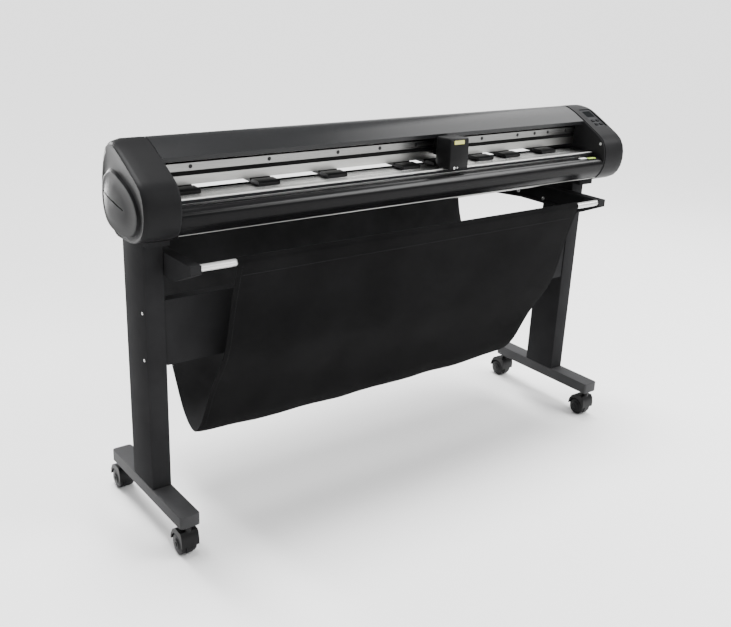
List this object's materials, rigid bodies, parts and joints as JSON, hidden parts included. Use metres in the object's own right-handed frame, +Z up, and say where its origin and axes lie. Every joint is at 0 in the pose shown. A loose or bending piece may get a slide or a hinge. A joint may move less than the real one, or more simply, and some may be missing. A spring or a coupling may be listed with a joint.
{
  "type": "vinyl cutter",
  "caption": "Floor-standing roll cutter for adhesive film: long cutting head with carriage and pinch rollers on a caster stand with a hanging cloth basket.",
  "frame": {"origin": "on the floor, under the middle of the whole machine's box", "axes": "+X along the head to the control panel's end, +Y from the operator's side to the back, +Z up"},
  "size_m": [1.634, 0.5707, 1.0108],
  "materials": {
    "black_paint": "fine black powder coat",
    "cap_plastic": "black moulded plastic, fine grain",
    "cover_metal": "dark grey satin coat",
    "silver": "drawn aluminium, satin",
    "chrome": "bright plated",
    "dark_steel": "dark steel",
    "black_plastic": "black moulded plastic",
    "rubber": "matt rubber",
    "cloth": "black woven cloth",
    "mat_strip": "pale cutting strip",
    "panel_plastic": "dark panel face",
    "key_plastic": "grey key tops"
  },
  "bodies": {
    "base": {"left_foot": "black_paint", "left_post": "black_paint", "left_arm": "black_paint", "left_side_frame": "black_paint", "left_cap": "cap_plastic", "right_foot": "black_paint", "right_post": "black_paint", "right_arm": "black_paint", "right_side_frame": "black_paint", "right_cap": "cap_plastic", "stretcher": "black_paint", "front_tube": "chrome", "rear_tube": "chrome", "basket_cloth": "cloth", "top_cover": "cover_metal", "front_nose": "black_paint", "belly_pan": "black_paint", "platen": "silver", "cutting_strip": "mat_strip", "guide_beam": "silver", "guide_rail": "silver", "drive_belt": "rubber", "carriage_motor": "dark_steel", "feed_motor": "dark_steel", "control_panel": "panel_plastic", "power_inlet": "black_plastic"},
    "lift": {"lift_bar": "dark_steel", "pinch_arm_1": "black_plastic", "pinch_arm_2": "black_plastic", "pinch_arm_3": "black_plastic", "pinch_arm_4": "black_plastic", "pinch_arm_5": "black_plastic", "pinch_arm_6": "black_plastic", "pinch_arm_7": "black_plastic", "pinch_arm_8": "black_plastic"},
    "grit": {"grit_shaft": "dark_steel"},
    "roller_1": {"pinch_roller_1": "rubber"},
    "roller_2": {"pinch_roller_2": "rubber"},
    "roller_3": {"pinch_roller_3": "rubber"},
    "roller_4": {"pinch_roller_4": "rubber"},
    "roller_5": {"pinch_roller_5": "rubber"},
    "roller_6": {"pinch_roller_6": "rubber"},
    "roller_7": {"pinch_roller_7": "rubber"},
    "roller_8": {"pinch_roller_8": "rubber"},
    "carriage": {"carriage": "black_plastic"},
    "blade": {"blade_holder": "chrome"},
    "drive_pulley": {"drive_pulley": "silver"},
    "idler_pulley": {"idler_pulley": "silver"},
    "key_1": {"panel_key_1": "key_plastic"},
    "key_2": {"panel_key_2": "key_plastic"},
    "key_3": {"panel_key_3": "key_plastic"},
    "key_4": {"panel_key_4": "key_plastic"},
    "caster_front_left": {"caster_hood_front_left": "black_plastic"},
    "wheels_front_left": {"caster_wheels_front_left": "black_plastic"},
    "caster_front_right": {"caster_hood_front_right": "black_plastic"},
    "wheels_front_right": {"caster_wheels_front_right": "black_plastic"},
    "caster_rear_left": {"caster_hood_rear_left": "black_plastic"},
    "wheels_rear_left": {"caster_wheels_rear_left": "black_plastic"},
    "caster_rear_right": {"caster_hood_rear_right": "black_plastic"},
    "wheels_rear_right": {"caster_wheels_rear_right": "black_plastic"}
  },
  "joints": [
    {"name": "carriage_slide", "type": "slide", "parent": "base", "child": "carriage", "axis": [1, 0, 0], "range_m": [-0.777, 0.513]},
    {"name": "blade_press", "type": "slide", "parent": "carriage", "child": "blade", "axis": [0, 0, 1], "range_m": [-0.003, 0], "stiffness_N_per_m": 1500, "springref_m": 0.001},
    {"name": "grit_spin", "type": "hinge", "parent": "base", "child": "grit", "pos_m": [0, -0.0935, 0.8765], "axis": [1, 0, 0], "continuous": true},
    {"name": "pinch_lift", "type": "hinge", "parent": "base", "child": "lift", "pos_m": [0, -0.053, 0.905], "axis": [-1, 0, 0], "range_deg": [0, 6]},
    {"name": "roller_spin_1", "type": "hinge", "parent": "lift", "child": "roller_1", "pos_m": [-0.652, -0.0935, 0.8923], "axis": [1, 0, 0], "continuous": true},
    {"name": "roller_spin_2", "type": "hinge", "parent": "lift", "child": "roller_2", "pos_m": [-0.434, -0.0935, 0.8923], "axis": [1, 0, 0], "continuous": true},
    {"name": "roller_spin_3", "type": "hinge", "parent": "lift", "child": "roller_3", "pos_m": [-0.229, -0.0935, 0.8923], "axis": [1, 0, 0], "continuous": true},
    {"name": "roller_spin_4", "type": "hinge", "parent": "lift", "child": "roller_4", "pos_m": [0.019, -0.0935, 0.8923], "axis": [1, 0, 0], "continuous": true},
    {"name": "roller_spin_5", "type": "hinge", "parent": "lift", "child": "roller_5", "pos_m": [0.129, -0.0935, 0.8923], "axis": [1, 0, 0], "continuous": true},
    {"name": "roller_spin_6", "type": "hinge", "parent": "lift", "child": "roller_6", "pos_m": [0.298, -0.0935, 0.8923], "axis": [1, 0, 0], "continuous": true},
    {"name": "roller_spin_7", "type": "hinge", "parent": "lift", "child": "roller_7", "pos_m": [0.408, -0.0935, 0.8923], "axis": [1, 0, 0], "continuous": true},
    {"name": "roller_spin_8", "type": "hinge", "parent": "lift", "child": "roller_8", "pos_m": [0.562, -0.0935, 0.8923], "axis": [1, 0, 0], "continuous": true},
    {"name": "drive_spin", "type": "hinge", "parent": "base", "child": "drive_pulley", "pos_m": [0.758, -0.079, 0.9688], "axis": [0, 1, 0], "continuous": true},
    {"name": "idler_spin", "type": "hinge", "parent": "base", "child": "idler_pulley", "pos_m": [-0.758, -0.079, 0.9688], "axis": [0, 1, 0], "continuous": true},
    {"name": "key_press_1", "type": "slide", "parent": "base", "child": "key_1", "axis": [0, 0.4633, -0.8862], "range_m": [0, 0.0012], "stiffness_N_per_m": 400, "springref_m": -0.0006},
    {"name": "key_press_2", "type": "slide", "parent": "base", "child": "key_2", "axis": [0, 0.4633, -0.8862], "range_m": [0, 0.0012], "stiffness_N_per_m": 400, "springref_m": -0.0006},
    {"name": "key_press_3", "type": "slide", "parent": "base", "child": "key_3", "axis": [0, 0.4633, -0.8862], "range_m": [0, 0.0012], "stiffness_N_per_m": 400, "springref_m": -0.0006},
    {"name": "key_press_4", "type": "slide", "parent": "base", "child": "key_4", "axis": [0, 0.4633, -0.8862], "range_m": [0, 0.0012], "stiffness_N_per_m": 400, "springref_m": -0.0006},
    {"name": "swivel_front_left", "type": "hinge", "parent": "base", "child": "caster_front_left", "pos_m": [-0.74, -0.266, 0.06], "axis": [0, 0, 1], "continuous": true},
    {"name": "roll_front_left", "type": "hinge", "parent": "caster_front_left", "child": "wheels_front_left", "pos_m": [-0.74, -0.25, 0.02765], "axis": [1, 0, 0], "continuous": true},
    {"name": "swivel_front_right", "type": "hinge", "parent": "base", "child": "caster_front_right", "pos_m": [0.74, -0.266, 0.06], "axis": [0, 0, 1], "continuous": true},
    {"name": "roll_front_right", "type": "hinge", "parent": "caster_front_right", "child": "wheels_front_right", "pos_m": [0.74, -0.25, 0.02765], "axis": [1, 0, 0], "continuous": true},
    {"name": "swivel_rear_left", "type": "hinge", "parent": "base", "child": "caster_rear_left", "pos_m": [-0.74, 0.116, 0.06], "axis": [0, 0, 1], "continuous": true},
    {"name": "roll_rear_left", "type": "hinge", "parent": "caster_rear_left", "child": "wheels_rear_left", "pos_m": [-0.74, 0.132, 0.02765], "axis": [1, 0, 0], "continuous": true},
    {"name": "swivel_rear_right", "type": "hinge", "parent": "base", "child": "caster_rear_right", "pos_m": [0.74, 0.116, 0.06], "axis": [0, 0, 1], "continuous": true},
    {"name": "roll_rear_right", "type": "hinge", "parent": "caster_rear_right", "child": "wheels_rear_right", "pos_m": [0.74, 0.132, 0.02765], "axis": [1, 0, 0], "continuous": true}
  ],
  "couplings": [
    {"joint": "roller_spin_1", "follows": "grit_spin", "ratio": -1.3846},
    {"joint": "roller_spin_2", "follows": "grit_spin", "ratio": -1.3846},
    {"joint": "roller_spin_3", "follows": "grit_spin", "ratio": -1.3846},
    {"joint": "roller_spin_4", "follows": "grit_spin", "ratio": -1.3846},
    {"joint": "roller_spin_5", "follows": "grit_spin", "ratio": -1.3846},
    {"joint": "roller_spin_6", "follows": "grit_spin", "ratio": -1.3846},
    {"joint": "roller_spin_7", "follows": "grit_spin", "ratio": -1.3846},
    {"joint": "roller_spin_8", "follows": "grit_spin", "ratio": -1.3846},
    {"joint": "drive_spin", "follows": "carriage_slide", "rad_per_m": -135.14},
    {"joint": "idler_spin", "follows": "carriage_slide", "rad_per_m": -135.14}
  ]
}
